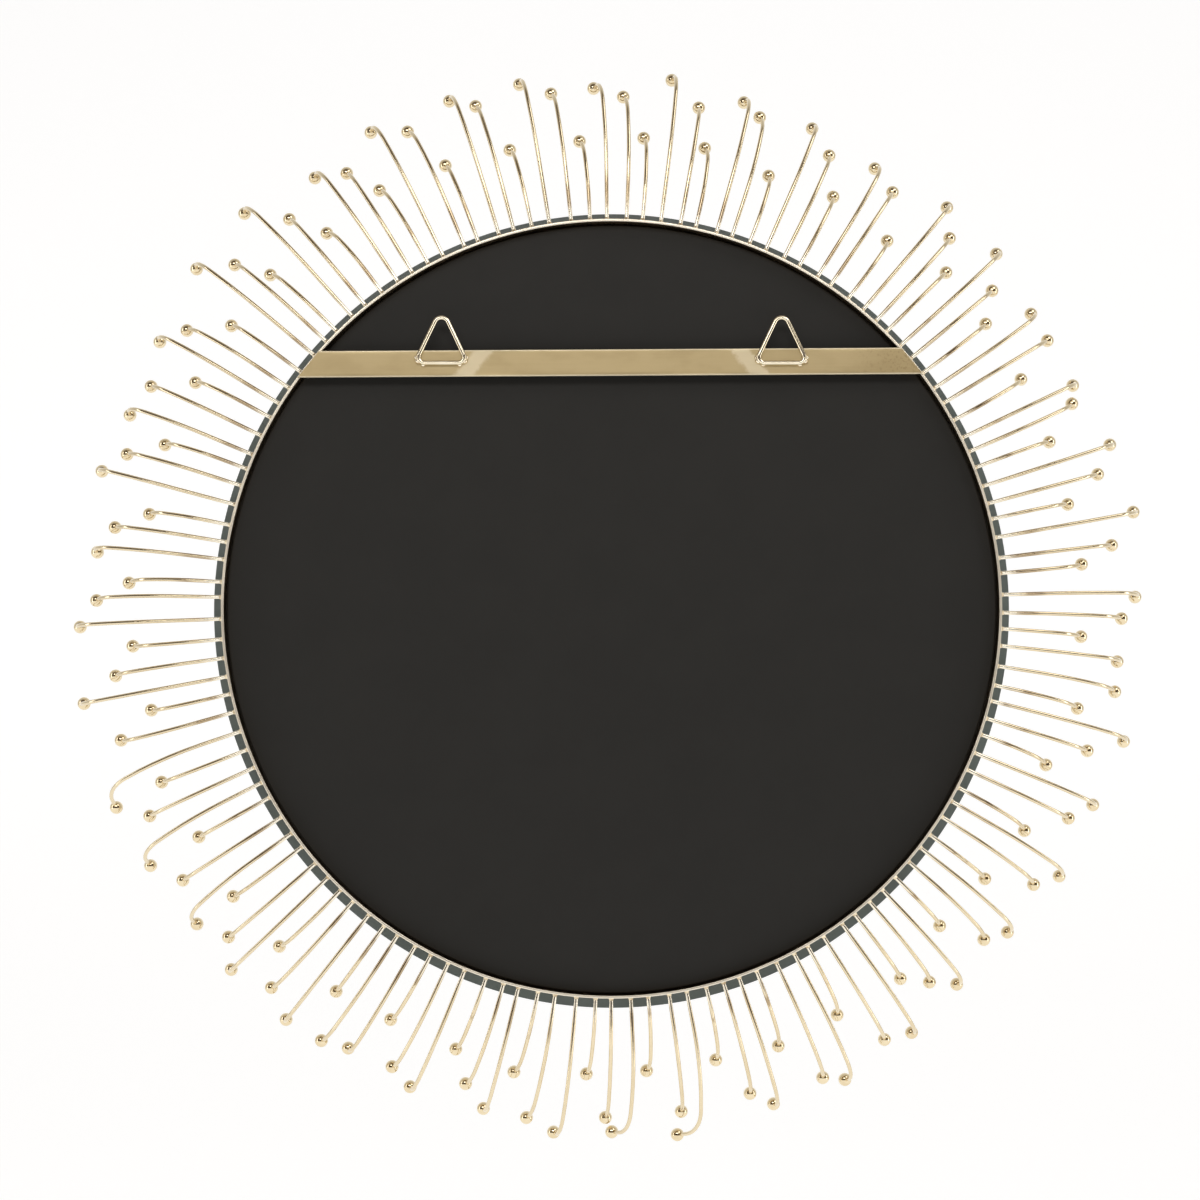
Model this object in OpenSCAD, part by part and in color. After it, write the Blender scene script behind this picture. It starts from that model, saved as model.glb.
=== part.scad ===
// Sunburst wall mirror: a round pane in a flat-bar hoop, ringed by curved wires with ball tips.
// Millimetres. +Z is up, the mirror faces -Y and the wall is on the +Y side.
// The origin is the middle of the pane's front face, on the hoop's axis.

/* [Hoop] */
// Outside diameter of the hoop
hoop_d = 581; // [420:1:720]
// Thickness of the flat bar that the hoop is rolled from
hoop_wall = 2; // [1.5:0.1:4]
// Width of that bar, which is the hoop's depth from front to back
hoop_depth = 30; // [24:1:45]

/* [Mirror] */
// How far the pane stands out past the hoop all round
mirror_overhang = 9.5; // [2:0.5:20]
// Thickness of the pane
mirror_t = 4; // [3:0.5:6]
// Width of the ground arris round the pane's front edge
mirror_arris = 0.8; // [0.3:0.1:1.2]
// Thickness of the foam tape between pane and panel
tape_t = 2; // [1:0.5:3]
// Width of one strip of tape
tape_w = 25; // [15:1:40]
// Number of strips of tape
tape_count = 7; // [3:2:9]

/* [Backing panel] */
// Thickness of the panel
panel_t = 18; // [9:1:18]
// Gap between the panel's edge and the hoop
panel_gap = 1.2; // [0.6:0.1:3]
// Height of the sealant bead in that gap, from the pane up
sealant_h = 14; // [6:1:18]

/* [Hanging strap] */
// Height of the strap's middle above the hoop's axis
strap_z = 181.5; // [100:0.5:200]
// Width of the strap
strap_w = 20; // [14:0.5:26]
// Thickness of the strap
strap_t = 2; // [1.5:0.1:4]
// Rounding of the strap's long rear edges
strap_round = 0.7; // [0.3:0.1:1]
// Slope of the strap across the back, in degrees
strap_slope = 0.34; // [0:0.01:1]
// Leg of the fillet weld under each end of the strap
strap_weld = 3; // [2:0.5:5]

/* [Hangers] */
// Distance between the middles of the two hangers
hanger_spacing = 254; // [150:1:320]
// Diameter of the hanger wire
hanger_wire = 3.5; // [2.5:0.1:5]
// Width of a hanger at its foot, between wire centres
hanger_w = 34; // [26:0.5:44]
// Height of a hanger, from the foot's wire centre to the top's
hanger_h = 34; // [28:0.5:44]
// Bend radius of the hanger's top, at the wire's centre
hanger_top_r = 5.5; // [4:0.5:8]
// Bend radius of the hanger's foot corners, at the wire's centre
hanger_foot_r = 4.5; // [3:0.5:6]
// Height of the hanger's foot below the strap's middle
hanger_drop = 0.6; // [0:0.1:3]

/* [Wires] */
// Number of wires in each of the three lengths
wires_each = 44; // [22:11:55]
// Diameter of the wires
wire_d = 3; // [2:0.1:4]
// Distance of the wires' centres in front of the hoop's rear edge
wire_inset = 4; // [3:0.5:12]
// Straight length of a long wire before it bends
long_straight = 37; // [25:1:60]
// Straight length of a medium wire before it bends
medium_straight = 26; // [15:1:50]
// Straight length of a short wire before it bends
short_straight = 11; // [7:1:30]
// Most that hand cutting changes a wire's length, either way
length_play = 6; // [0:0.5:6]
// Most that hand welding turns a wire round the hoop, in degrees either way
angle_play = 0.4; // [0:0.05:0.5]
// Sideways turn of the bends at the top and bottom, in degrees
bend_turn = 11; // [0:1:20]
// Most that hand bending turns a wire sideways, in degrees either way
turn_play = 6; // [0:1:8]

/* [Balls] */
// Diameter of the ball tips
ball_d = 10; // [7:0.5:12]
// Depth of the hole in a ball that takes the wire's end
ball_hole = 4.5; // [3:0.5:6]

/* [Hidden] */
$fn = 48;
TURN = 360;
EPS = 0.01;

// Joints in a bent wire: the ball at a joint over the wire's diameter, and the slack beside it
joint_swell = 1.015;
joint_slack = 0.04;
// Flats round the hanger's wire, and steps in each of its bends
hanger_flats = 24;
hanger_steps = 8;
// Straight neck of wire before the ball of a medium, long and short wire
necks = [0.8, 5, 0.8];

// Places from front to back
pane_back_y = mirror_t;
panel_front_y = pane_back_y + tape_t;
panel_back_y = panel_front_y + panel_t;
hoop_back_y = pane_back_y + hoop_depth;
strap_back_y = hoop_back_y + strap_t;
hanger_y = strap_back_y + hanger_wire / 2;
wire_y = hoop_back_y - wire_inset;

// Radii from the axis outwards
hoop_r = hoop_d / 2;
hoop_bore_r = hoop_r - hoop_wall;
mirror_r = hoop_r + mirror_overhang;
panel_r = hoop_bore_r - panel_gap;
strap_cut_r = hoop_r - hoop_wall / 2;
panel_round = 1;

// The strips of tape stop this far inside the panel's edge
tape_margin = 12;

// Collar of weld round the foot of each wire
collar_h = 1.8;
collar_d = wire_d + 1.8;
collar_lip = 0.15;

// Classes of wire, in the order in which they repeat round the hoop
MEDIUM = 0;
LONG = 1;
SHORT = 2;
CLASSES = 3;
wire_count = wires_each * CLASSES;
sector_count = 11;
sector_wires = wires_each / sector_count;
pitch = TURN / wire_count;
// Where the first wire stands, and how far the wires crowd towards the sides
first_angle = -0.9;
crowding = 1.15;

// Each row is [radius, angle] of a bend, from the foot outwards; the straight comes before them
BENDS = [
    [[130, 24], [24, 46]],
    [[180, 18], [22, 70]],
    [[95, 24], [24, 44]]
];
straights = [medium_straight, long_straight, short_straight];
plays = [0.75, 1, 0.6];
// The halo is longer above than below, and longer to the +X side; no straight is shorter than the last value
reach_up = 5;
reach_side = 3;
least_straight = 1.5;
// A few long wires were bent well to one side: [number, extra turn in degrees]
STRAYS = [[24, 30], [25, 34], [26, 26], [33, -20], [34, -24], [12, -6]];

// A repeatable number from -1 to 1 for wire i and purpose k
function vary(i, k) = let (s = sin(i * 127.1 + k * 311.7) * 437.585) 2 * (s - floor(s)) - 1;
function sum(list, n) = n <= 0 ? 0 : list[n - 1] + sum(list, n - 1);
function stray(i) = sum([for (s = STRAYS) CLASSES * s[0] + LONG == i ? s[1] : 0], len(STRAYS));

// Direction of wire i round the hoop: 0 is -X, 90 is up
function wire_angle(i) =
    let (even = first_angle + i * pitch)
    even - crowding * sin(even) + angle_play * vary(i, 1);
function wire_reach(i) = reach_up * sin(wire_angle(i)) - reach_side * cos(wire_angle(i));
function wire_straight(i) =
    let (play = length_play * plays[i % CLASSES] * vary(i, 2))
    max(least_straight, straights[i % CLASSES] + wire_reach(i) + play);
function wire_turn(i) = bend_turn * sin(wire_angle(i)) + turn_play * vary(i, 3) + stray(i);
// Bends of wire i, each opened or closed a little by hand
function wire_bends(i) = [for (b = BENDS[i % CLASSES]) [b[0] * (1 + 0.12 * vary(i, 4)), b[1]]];

NUMBERS = ["01", "02", "03", "04", "05", "06", "07", "08", "09", "10", "11"];

// A disc or ring whose axis is the hoop's axis, from y0 to y1
module disc(r, y0, y1) {
    translate([0, y1, 0]) rotate([90, 0, 0]) cylinder(r = r, h = y1 - y0);
}

module hoop() {
    color("#cdb67e") difference() {
        disc(hoop_r, pane_back_y, hoop_back_y);
        disc(hoop_bore_r, pane_back_y - 1, hoop_back_y + 1);
    }
}

module mirror_glass() {
    color("#8fa09c") rotate([90, 0, 0]) rotate_extrude() polygon([
        [0, 0], [mirror_r - mirror_arris, 0], [mirror_r, -mirror_arris],
        [mirror_r, -mirror_t], [0, -mirror_t]
    ]);
}

module backing_panel() {
    color("#34302d") rotate([90, 0, 0]) rotate_extrude() difference() {
        translate([0, -panel_back_y]) square([panel_r, panel_t]);
        translate([panel_r - panel_round, -panel_back_y - EPS]) difference() {
            square([panel_round + EPS, panel_round + EPS]);
            translate([0, panel_round + EPS]) circle(r = panel_round);
        }
    }
}

// Upright strips, each as long as the panel allows at its place
module mounting_tape() {
    reach = panel_r - tape_margin;
    step = (2 * reach - tape_w) / (tape_count + 1);
    color("#d8d8d2") for (k = [1:tape_count]) {
        x = -reach + tape_w / 2 + k * step;
        half = sqrt(reach * reach - pow(abs(x) + tape_w / 2, 2));
        translate([x - tape_w / 2, pane_back_y, -half]) cube([tape_w, tape_t, 2 * half]);
    }
}

module edge_sealant() {
    color("#2a2724") difference() {
        disc(hoop_bore_r, pane_back_y, pane_back_y + sealant_h);
        disc(panel_r, pane_back_y - 1, pane_back_y + sealant_h + 1);
    }
}

// The strap's section, with its rear edges rounded; +X here is the hoop's +Y
module strap_section() {
    difference() {
        translate([0, -strap_w / 2]) square([strap_t, strap_w]);
        for (side = [-1, 1]) scale([1, side]) {
            translate([strap_t - strap_round, strap_w / 2 - strap_round]) difference() {
                square(strap_round + EPS);
                circle(r = strap_round);
            }
        }
    }
}

// Direction from the axis to each end of the strap; side 1 is +X
function strap_end_angle(side) =
    let (z = strap_z - side * strap_cut_r * cos(asin(strap_z / strap_cut_r)) * sin(strap_slope))
    asin(z / strap_cut_r);

module hanging_strap() {
    color("#c2ab74") difference() {
        translate([0, hoop_back_y, strap_z]) rotate([0, strap_slope, 0]) translate([-hoop_r, 0, 0])
            rotate([90, 0, 90]) linear_extrude(2 * hoop_r) strap_section();
        for (side = [-1, 1]) {
            a = strap_end_angle(side);
            rotate([0, side > 0 ? -a : a - 180, 0])
                translate([strap_cut_r, hoop_back_y - 1, -hoop_r]) cube([hoop_r, strap_t + 2, 2 * hoop_r]);
        }
    }
}

// Triangular fillets that follow the hoop's bore under the strap's ends
module strap_welds() {
    span = asin((strap_z + strap_w / 2 - 2) / hoop_bore_r) - asin((strap_z - strap_w / 2 + 2) / hoop_bore_r);
    color("#b99f68") for (side = [-1, 1]) {
        a = strap_end_angle(side);
        middle = side > 0 ? a : 180 - a;
        translate([0, hoop_back_y, 0]) rotate([90, 0, 0]) rotate([0, 0, middle - span / 2])
            rotate_extrude(angle = span) polygon([
                [hoop_bore_r, 0], [hoop_bore_r, strap_weld], [hoop_bore_r - strap_weld, 0]
            ]);
    }
}

// Angle of the hanger's side from upright, so that it is tangent to both of its bends
function hanger_side_angle(foot_c, top_c) =
    let (d = top_c - foot_c)
    atan2(d[1], d[0]) - acos((hanger_foot_r - hanger_top_r) / norm(d));

// The space that a hanger's wire takes: a rounded triangle, the centre of its foot at the origin
module hanger_loop() {
    foot_c = [hanger_w / 2 - hanger_foot_r, hanger_foot_r];
    top_c = [0, hanger_h - hanger_top_r];
    side_a = hanger_side_angle(foot_c, top_c);
    side_l = sqrt(pow(norm(top_c - foot_c), 2) - pow(hanger_foot_r - hanger_top_r, 2));
    foot_bend = [hanger_foot_r, 90 + side_a];
    top_bend = [hanger_top_r, 180 - 2 * side_a];
    rotate([90, 0, 0]) translate([foot_c[0], 0, 0]) rotate([0, 0, 180])
        chain(hanger_wire, [[2 * foot_c[0], foot_bend], [side_l, top_bend], [side_l, foot_bend]], 0);
}

// Lengths of wire from number k on, each row a straight and the bend after it
module chain(d, rows, k) {
    if (k < len(rows)) {
        joint(d);
        straight(d, rows[k][0]);
        translate([rows[k][0], 0, 0]) {
            joint(d);
            bend(d, rows[k][1][0], rows[k][1][1]);
            past_bend(rows[k][1]) chain(d, rows, k + 1);
        }
    }
}

// Side 1 is the +X hanger
module at_hanger(side) {
    translate([side * hanger_spacing / 2, hanger_y, strap_z - hanger_drop]) children();
}

// Stations round the loop's centre line, each [X, Z, angle of its outward normal]
function hanger_stations() =
    let (foot_c = [hanger_w / 2 - hanger_foot_r, hanger_foot_r])
    let (top_c = [0, hanger_h - hanger_top_r])
    let (side_a = hanger_side_angle(foot_c, top_c))
    let (arcs = [
        [foot_c, hanger_foot_r, -TURN / 4, side_a],
        [top_c, hanger_top_r, side_a, TURN / 2 - side_a],
        [[-foot_c[0], foot_c[1]], hanger_foot_r, TURN / 2 - side_a, 3 * TURN / 4]
    ])
    [for (a = arcs) for (k = [0:hanger_steps])
        let (n = a[2] + (a[3] - a[2]) * k / hanger_steps)
        [a[0][0] + a[1] * cos(n), a[0][1] + a[1] * sin(n), n]];

// The wire itself, as flats round its section carried from station to station
module hanger(side) {
    stations = hanger_stations();
    count = len(stations);
    r = hanger_wire / 2;
    flats = [0:hanger_flats - 1];
    color("#d3bd86") at_hanger(side) polyhedron(
        points = [for (s = stations) for (k = flats)
            let (a = TURN * k / hanger_flats)
            [s[0] + r * cos(a) * cos(s[2]), r * sin(a), s[1] + r * cos(a) * sin(s[2])]],
        faces = [for (i = [0:count - 1]) for (k = flats)
            let (j = (i + 1) % count, m = (k + 1) % hanger_flats)
            [i * hanger_flats + k, i * hanger_flats + m, j * hanger_flats + m, j * hanger_flats + k]]
    );
}

// Each row is [distance out from the corner, height, radius] of one drop of a braze bead
BEAD_DROPS = [[0.4, 1.6, 2.5], [-3.4, -1.2, 1.9], [2, 4.2, 1.5], [-0.6, 5, 1.7]];

module hanger_beads(side) {
    sunk = -hanger_wire / 2 + 0.6;
    color("#d9c48c") at_hanger(side) difference() {
        for (corner = [-1, 1]) for (b = BEAD_DROPS)
            translate([corner * (hanger_w / 2 + b[0]), sunk, b[1]]) sphere(r = b[2]);
        hanger_loop();
        translate([-hanger_w, -hanger_wire / 2 - hanger_w, -hanger_w]) cube(2 * [hanger_w, hanger_w / 2, hanger_w]);
    }
}

// Puts its children at the foot of wire i, with +X out from the hoop and the front at -Y
module at_wire(i) {
    rotate([0, wire_angle(i) + TURN / 2, 0]) translate([hoop_r, wire_y, 0])
        rotate([wire_turn(i), 0, 0]) children();
}

// One straight length along +X, short of its ends by the joints' slack
module straight(d, l) {
    slack = d * joint_slack;
    translate([slack, 0, 0]) rotate([0, 90, 0]) cylinder(d = d, h = l - 2 * slack);
}

// One bend that starts at the origin along +X and turns towards -Y, short of its ends as well
module bend(d, r, a) {
    slack = atan(d * joint_slack / r);
    translate([0, -r, 0]) rotate([0, 0, 90 - a + slack])
        rotate_extrude(angle = a - 2 * slack) translate([r, 0]) circle(d = d);
}

// A ball just over the wire's own size that closes a joint between two lengths of it
module joint(d) {
    sphere(d = d * joint_swell);
}

// Moves its children past one bend
module past_bend(b) {
    translate([b[0] * sin(b[1]), -b[0] * (1 - cos(b[1])), 0]) rotate([0, 0, -b[1]]) children();
}

// Moves its children past bend number k and all the later ones
module past(bends, k) {
    if (k >= len(bends)) children();
    else past_bend(bends[k]) past(bends, k + 1) children();
}

// The wire from bend number k to its end, each length joined to the one before
module run(bends, k, neck) {
    joint(wire_d);
    if (k >= len(bends)) straight(wire_d, neck + ball_hole);
    else {
        bend(wire_d, bends[k][0], bends[k][1]);
        past_bend(bends[k]) run(bends, k + 1, neck);
    }
}

module wire(i) {
    at_wire(i) {
        translate([-hoop_wall, 0, 0]) straight(wire_d, hoop_wall + wire_straight(i));
        translate([wire_straight(i), 0, 0]) run(wire_bends(i), 0, necks[i % CLASSES]);
    }
}

// The space that the hoop fills where the wires meet it
module hoop_core() {
    disc(hoop_r, wire_y - 2 * wire_d, wire_y + 2 * wire_d);
}

module wires(class, sector) {
    color("#cbb688") difference() {
        for (j = [0:sector_wires - 1]) wire(CLASSES * (sector * sector_wires + j) + class);
        hoop_core();
    }
}

module ball(i) {
    at_wire(i) translate([wire_straight(i), 0, 0]) past(wire_bends(i), 0) difference() {
        translate([necks[i % CLASSES] + ball_d / 2, 0, 0]) sphere(d = ball_d);
        rotate([0, 90, 0]) cylinder(d = wire_d, h = necks[i % CLASSES] + ball_hole);
    }
}

module ball_tips(sector) {
    n = CLASSES * sector_wires;
    color("#d2b168") for (i = [sector * n:(sector + 1) * n - 1]) ball(i);
}

// Rings of weld that stand on the hoop round the feet of the wires
module wire_collars() {
    color("#bfa872") for (i = [0:wire_count - 1]) at_wire(i) rotate([0, 90, 0]) rotate_extrude() polygon([
        [wire_d / 2, 0], [collar_d / 2, 0], [wire_d / 2 + collar_lip, collar_h], [wire_d / 2, collar_h]
    ]);
}

hoop();
mirror_glass();
backing_panel();
mounting_tape();
edge_sealant();
hanging_strap();
strap_welds();
hanger(1);  // hanger_left
hanger(-1);  // hanger_right
hanger_beads(1);  // hanger_beads_left
hanger_beads(-1);  // hanger_beads_right
wire_collars();
for (s = [0:sector_count - 1]) {
    wires(LONG, s);
    wires(MEDIUM, s);
    wires(SHORT, s);
    ball_tips(s);
}
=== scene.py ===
"""Dresses the frame of a sunburst wall mirror that is seen from its hanging side.

A gold-plated hoop carries a round pane, a dark board, a strap with two hanging
eyes and a halo of bent wires that end in small polished balls.
"""

from __future__ import annotations

import logging
import math
from dataclasses import dataclass, field
from enum import Enum
from typing import Any

import bpy
import numpy as np
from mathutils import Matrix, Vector

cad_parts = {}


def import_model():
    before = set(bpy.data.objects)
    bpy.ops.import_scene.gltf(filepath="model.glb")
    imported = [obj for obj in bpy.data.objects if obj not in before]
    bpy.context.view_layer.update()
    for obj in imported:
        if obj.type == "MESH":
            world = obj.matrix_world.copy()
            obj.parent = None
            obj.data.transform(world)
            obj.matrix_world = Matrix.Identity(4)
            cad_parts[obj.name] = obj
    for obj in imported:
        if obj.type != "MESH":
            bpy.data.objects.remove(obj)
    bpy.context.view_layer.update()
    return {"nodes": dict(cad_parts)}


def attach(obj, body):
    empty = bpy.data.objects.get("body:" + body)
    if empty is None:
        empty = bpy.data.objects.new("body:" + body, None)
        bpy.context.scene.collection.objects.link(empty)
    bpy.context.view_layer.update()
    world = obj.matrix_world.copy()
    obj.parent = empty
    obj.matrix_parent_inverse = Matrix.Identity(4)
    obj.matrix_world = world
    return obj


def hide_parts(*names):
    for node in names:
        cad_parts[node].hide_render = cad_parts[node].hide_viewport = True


LOG = logging.getLogger("sunburst_mirror")
MM = 0.001
TURN = 2 * math.pi

Colour = tuple[float, float, float]


# ---------------------------------------------------------------- surfaces


@dataclass
class Skin:
    """Points and faces of one closed surface, in millimetres."""

    points: np.ndarray
    faces: list[tuple[int, ...]]
    marks: np.ndarray | None = None

    def outward(self) -> "Skin":
        """Turns the faces round if the volume they enclose comes out negative."""
        volume = 0.0
        for sides, corners in ((3, ((0, 1, 2),)), (4, ((0, 1, 2), (0, 2, 3)))):
            some = np.array([f for f in self.faces if len(f) == sides])
            if len(some):
                for trio in corners:
                    a, b, c = (self.points[some[:, k]] for k in trio)
                    volume += np.einsum("ij,ij->", a, np.cross(b, c))
        if volume < 0:
            self.faces = [tuple(reversed(f)) for f in self.faces]
        return self


def grid_faces(rows: int, columns: int, wrap_rows: bool, wrap_columns: bool) -> np.ndarray:
    """Quads between neighbouring rows and columns of a grid of points.

    Args:
        rows: Number of rows of points.
        columns: Number of points in a row.
        wrap_rows: The last row joins the first.
        wrap_columns: The last point of a row joins its first.

    Returns:
        An array of four point numbers a face.
    """
    r = np.arange(rows if wrap_rows else rows - 1)[:, None]
    c = np.arange(columns if wrap_columns else columns - 1)[None, :]
    r2, c2 = (r + 1) % rows, (c + 1) % columns
    return np.stack(
        [r * columns + c, r * columns + c2, r2 * columns + c2, r2 * columns + c], axis=-1
    ).reshape(-1, 4)


def tube_skin(rings: np.ndarray, marks: np.ndarray | None = None, closed: bool = False) -> Skin:
    """A surface through closed rings of points, with both ends closed by a fan.

    Args:
        rings: Points as [ring, place in the ring, xyz].
        marks: One number for each ring, kept as a point attribute.
        closed: The last ring joins the first, so there are no ends.

    Returns:
        The closed surface.
    """
    count, around = rings.shape[:2]
    points = rings.reshape(-1, 3)
    faces = [tuple(f) for f in grid_faces(count, around, closed, True).tolist()]
    values = None if marks is None else np.repeat(marks, around)
    if not closed:
        tips = np.stack([rings[0].mean(axis=0), rings[-1].mean(axis=0)])
        first, last = len(points), len(points) + 1
        points = np.concatenate([points, tips])
        end = (count - 1) * around
        for k in range(around):
            n = (k + 1) % around
            faces.append((first, n, k))
            faces.append((last, end + k, end + n))
        if values is not None:
            values = np.concatenate([values, marks[[0, -1]]])
    return Skin(points, faces, values).outward()


def lathe_skin(profile: np.ndarray, segments: int, ring: bool) -> Skin:
    """Turns a profile about the Y axis: (r, y) goes to (r cos t, y, r sin t).

    Args:
        profile: Rows of radius and y. A solid disc's profile starts and ends on the axis.
        segments: Number of steps in t round the circle.
        ring: The profile is a closed loop that stays off the axis.

    Returns:
        The closed surface.
    """
    t = np.arange(segments) * TURN / segments
    body = profile if ring else profile[1:-1]
    rings = np.stack(
        [
            body[:, :1] * np.cos(t),
            np.repeat(body[:, 1:], segments, axis=1),
            body[:, :1] * np.sin(t),
        ],
        axis=-1,
    )
    return tube_skin(rings, closed=ring)


def arc(centre: tuple[float, float], radius: float, start: float, stop: float, steps: int) -> np.ndarray:
    """Points on an arc in the (r, y) plane, from one angle to another in degrees."""
    a = np.radians(np.linspace(start, stop, steps))
    return np.stack([centre[0] + radius * np.cos(a), centre[1] + radius * np.sin(a)], axis=-1)


def make_piece(name: str, skins: list[Skin], crease: float = 40.0) -> bpy.types.Object:
    """Puts surfaces into one mesh object at the origin and rides it on the body.

    Args:
        name: The piece's name.
        skins: Its closed surfaces, in millimetres.
        crease: Edges that turn by more than this many degrees stay sharp.

    Returns:
        The new object, linked to the scene.
    """
    offsets = np.cumsum([0] + [len(s.points) for s in skins])
    points = np.concatenate([s.points for s in skins]) * MM
    faces = [
        tuple(int(p) + int(o) for p in f) for s, o in zip(skins, offsets) for f in s.faces
    ]
    mesh = bpy.data.meshes.new(name)
    mesh.from_pydata(points.tolist(), [], faces)
    mesh.validate()
    mesh.shade_smooth()
    mesh.set_sharp_from_angle(angle=math.radians(crease))
    if skins[0].marks is not None:
        marks = np.concatenate([s.marks for s in skins]).astype(np.float32)
        mesh.attributes.new("reach", "FLOAT", "POINT").data.foreach_set("value", marks)
    piece = bpy.data.objects.new(name, mesh)
    bpy.context.scene.collection.objects.link(piece)
    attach(piece, "root")
    return piece


# ---------------------------------------------------------------- shading


class Value:
    """A socket that adds Math nodes when it is used in an expression."""

    def __init__(self, net: "Net", socket: bpy.types.NodeSocket) -> None:
        """Keeps the socket and the net that it belongs to."""
        self.net = net
        self.socket = socket

    def _math(self, operation: str, a: Any, b: Any) -> "Value":
        """Adds one Math node."""
        return self.net.add("ShaderNodeMath", {"operation": operation}, {0: a, 1: b})

    def __add__(self, other: Any) -> "Value":
        """Sum."""
        return self._math("ADD", self, other)

    def __radd__(self, other: Any) -> "Value":
        """Sum, reflected."""
        return self._math("ADD", other, self)

    def __sub__(self, other: Any) -> "Value":
        """Difference."""
        return self._math("SUBTRACT", self, other)

    def __mul__(self, other: Any) -> "Value":
        """Product."""
        return self._math("MULTIPLY", self, other)

    def __pow__(self, other: Any) -> "Value":
        """Power."""
        return self._math("POWER", self, other)

    def size(self) -> "Value":
        """The value without its sign."""
        return self.net.add("ShaderNodeMath", {"operation": "ABSOLUTE"}, {0: self})

    def step(self, low: float, high: float) -> "Value":
        """Smooth step from 0 at low to 1 at high; low may be the larger."""
        return self.net.add(
            "ShaderNodeMapRange",
            {"interpolation_type": "SMOOTHSTEP"},
            {"Value": self, "From Min": low, "From Max": high},
        )


class Net:
    """The node tree of one material, with one way to add a node."""

    def __init__(self, name: str) -> None:
        """Starts a material with its shader and its output."""
        self.material = bpy.data.materials.new(name)
        self.material.use_nodes = True
        self.tree = self.material.node_tree
        self.shader = self.tree.nodes["Principled BSDF"]

    def add(self, kind: str, settings: dict[str, Any], inputs: dict[Any, Any], out: Any = 0) -> Value:
        """Adds a node.

        Args:
            kind: The node's type.
            settings: Its settings, set first.
            inputs: A value or a link for each socket, by name or number.
            out: The name or number of the output to return.

        Returns:
            The chosen output.
        """
        node = self.tree.nodes.new(kind)
        for key, value in settings.items():
            setattr(node, key, value)
        for key, value in inputs.items():
            if isinstance(value, Value):
                self.tree.links.new(value.socket, node.inputs[key])
            else:
                node.inputs[key].default_value = value
        return Value(self, node.outputs[out])

    def place(self) -> Value:
        """The point on the object, in metres."""
        return self.add("ShaderNodeTexCoord", {}, {}, "Object")

    def axes(self) -> tuple[Value, Value, Value]:
        """The three coordinates of the point."""
        split = self.add("ShaderNodeSeparateXYZ", {}, {0: self.place()})
        return tuple(Value(self, split.socket.node.outputs[k]) for k in range(3))

    def vector(self, x: Any, y: Any, z: Any) -> Value:
        """A vector from three numbers or values."""
        return self.add("ShaderNodeCombineXYZ", {}, {0: x, 1: y, 2: z})

    def noise(self, at: Value, scale: float, detail: float = 3.0, rough: float = 0.55) -> Value:
        """Cloudy noise from 0 to 1 at a scale in cells a metre."""
        return self.add(
            "ShaderNodeTexNoise",
            {},
            {"Vector": at, "Scale": scale, "Detail": detail, "Roughness": rough},
        )

    def blend(self, share: Any, a: Any, b: Any) -> Value:
        """Colour a where the share is 0 and colour b where it is 1."""
        colours = {k: (*v, 1.0) if isinstance(v, tuple) else v for k, v in ((6, a), (7, b))}
        return self.add("ShaderNodeMix", {"data_type": "RGBA"}, {0: share, **colours}, 2)

    def bump(self, height: Value, depth: float, strength: float = 1.0) -> None:
        """Raises the surface by a height from 0 to 1 times a depth in metres."""
        normal = self.add("ShaderNodeBump", {}, {"Height": height, "Distance": depth, "Strength": strength})
        self.link("Normal", normal)

    def link(self, socket: str, value: Value) -> None:
        """Feeds one of the shader's sockets."""
        self.tree.links.new(value.socket, self.shader.inputs[socket])

    def fix(self, **sockets: Any) -> None:
        """Sets the shader's own sockets; an underscore stands for a space."""
        for key, value in sockets.items():
            value = (*value, 1.0) if isinstance(value, tuple) and len(value) == 3 else value
            self.shader.inputs[key.replace("_", " ")].default_value = value


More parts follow.
